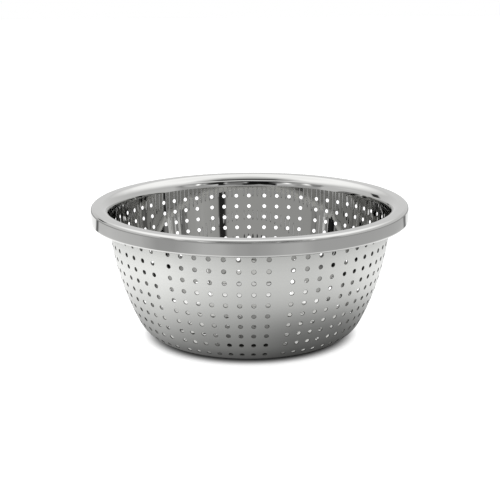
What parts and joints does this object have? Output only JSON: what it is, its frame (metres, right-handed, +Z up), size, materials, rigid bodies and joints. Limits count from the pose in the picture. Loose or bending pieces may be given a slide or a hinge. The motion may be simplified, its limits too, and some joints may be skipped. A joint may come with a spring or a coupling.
{
  "type": "colander",
  "caption": "Deep round steel colander with a curved perforated wall, a flat base and a wide flat rolled rim, for rinsing and draining food",
  "frame": {"origin": "middle of the flat base, on the surface that the colander stands on", "axes": "+Z up along the axis of the bowl, -Y towards the front of the picture"},
  "size_m": [0.32, 0.32, 0.1355],
  "materials": {
    "bowl_sheet": "satin outside, mirror polished inside",
    "rim_sheet": "mirror polished stainless steel",
    "rim_wire_steel": "plain drawn wire"
  },
  "bodies": {
    "root": {"bowl": "bowl_sheet", "rim_band": "rim_sheet", "rim_wire": "rim_wire_steel"}
  },
  "joints": []
}
